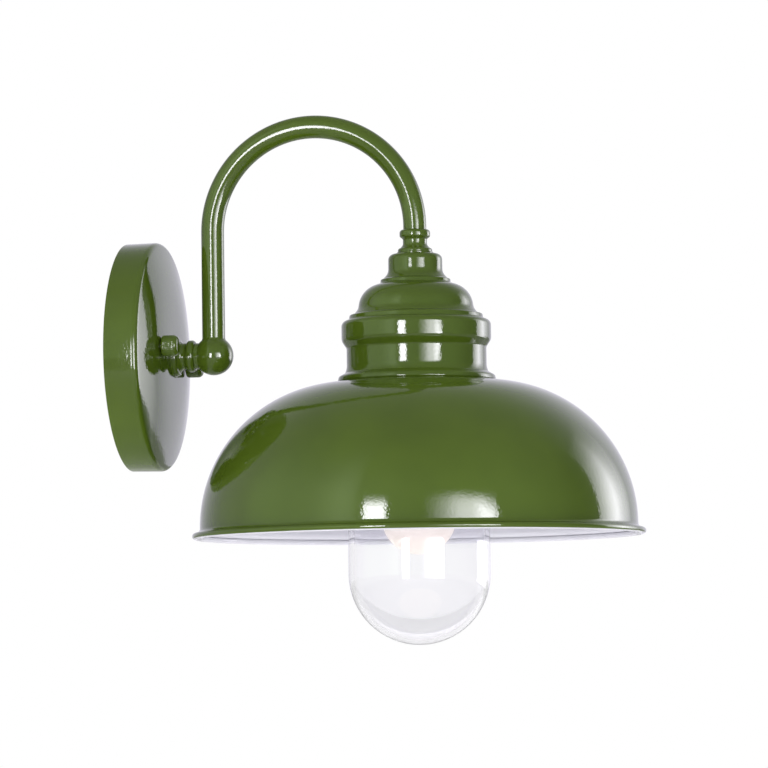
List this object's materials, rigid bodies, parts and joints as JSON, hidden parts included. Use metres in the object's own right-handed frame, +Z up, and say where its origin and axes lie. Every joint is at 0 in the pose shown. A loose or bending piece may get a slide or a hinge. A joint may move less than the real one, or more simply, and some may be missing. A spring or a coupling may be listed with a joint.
{
  "type": "wall light",
  "caption": "Gooseneck wall sconce: round wall plate, bent tube arm, domed metal shade with a tiered bell and a clear glass jar over the bulb.",
  "frame": {"origin": "middle of the wall plate's back, on the wall", "axes": "+X out of the wall along the arm's level start, +Z up, +Y to the right as seen by someone who looks along +X"},
  "size_m": [0.3483, 0.3034, 0.3581],
  "materials": {
    "green_enamel": "glossy powder-coated steel with fine orange peel",
    "white_enamel": "glossy white enamel",
    "zinc_steel": "zinc-plated pressed steel",
    "plain_brass": "turned brass",
    "white_porcelain": "glazed porcelain",
    "clear_glass": "clear, smooth, thick-walled",
    "opal_glass": "inside-frosted lamp glass",
    "vitrite": "dark cast glass",
    "black_rubber": "matte",
    "bare_aluminium": "drawn, satin",
    "white_nylon": "moulded, satin",
    "brown_insulation": "extruded, satin",
    "blue_insulation": "extruded, satin",
    "green_yellow_insulation": "extruded, satin"
  },
  "bodies": {
    "fixture": {"wall_plate": "green_enamel", "wall_coupling": "green_enamel", "ball_elbow": "green_enamel", "arm_tube": "green_enamel", "neck_coupling": "green_enamel", "bell_cap": "green_enamel", "dome_shade": "green_enamel", "glass_carrier": "white_enamel", "wall_bracket": "zinc_steel", "plate_studs": "zinc_steel", "stud_lock_nuts": "zinc_steel", "arm_nipple": "zinc_steel", "arm_lock_washer": "zinc_steel", "arm_lock_nut": "zinc_steel", "bell_washer": "zinc_steel", "bell_lock_nut": "zinc_steel", "carrier_washer": "zinc_steel", "carrier_lock_nut": "zinc_steel", "centre_nipple": "zinc_steel", "lampholder_cap": "zinc_steel", "terminal_block": "white_nylon", "terminal_screws": "plain_brass", "earth_screw": "plain_brass", "lampholder_terminals": "plain_brass", "lamp_centre_contact": "plain_brass", "lamp_screw_shell": "plain_brass", "lampholder_body": "white_porcelain", "lampholder_insert": "white_porcelain", "shade_seal": "black_rubber", "live_wire": "brown_insulation", "neutral_wire": "blue_insulation", "earth_wire": "green_yellow_insulation"},
    "jar_seal": {"jar_gasket": "black_rubber"},
    "jar": {"glass_jar": "clear_glass"},
    "bulb": {"bulb_contact": "plain_brass", "bulb_insulator": "vitrite", "bulb_cap": "bare_aluminium", "bulb_glass": "opal_glass"},
    "near_nut": {"near_cap_nut": "green_enamel"},
    "far_nut": {"far_cap_nut": "green_enamel"}
  },
  "joints": [
    {"name": "jar_lowers", "type": "slide", "parent": "fixture", "child": "jar_seal", "axis": [0, 0, -1], "range_m": [0, 0.12]},
    {"name": "jar_turns", "type": "hinge", "parent": "jar_seal", "child": "jar", "pos_m": [0.1966, 0, -0.0293], "axis": [0, 0, -1], "range_deg": [0, 540]},
    {"name": "bulb_lowers", "type": "slide", "parent": "fixture", "child": "bulb", "axis": [0, 0, -1], "range_m": [0, 0.04]},
    {"name": "near_nut_off", "type": "slide", "parent": "fixture", "child": "near_nut", "axis": [1, 0, 0], "range_m": [0, 0.014]},
    {"name": "far_nut_off", "type": "slide", "parent": "fixture", "child": "far_nut", "axis": [1, 0, 0], "range_m": [0, 0.014]}
  ]
}
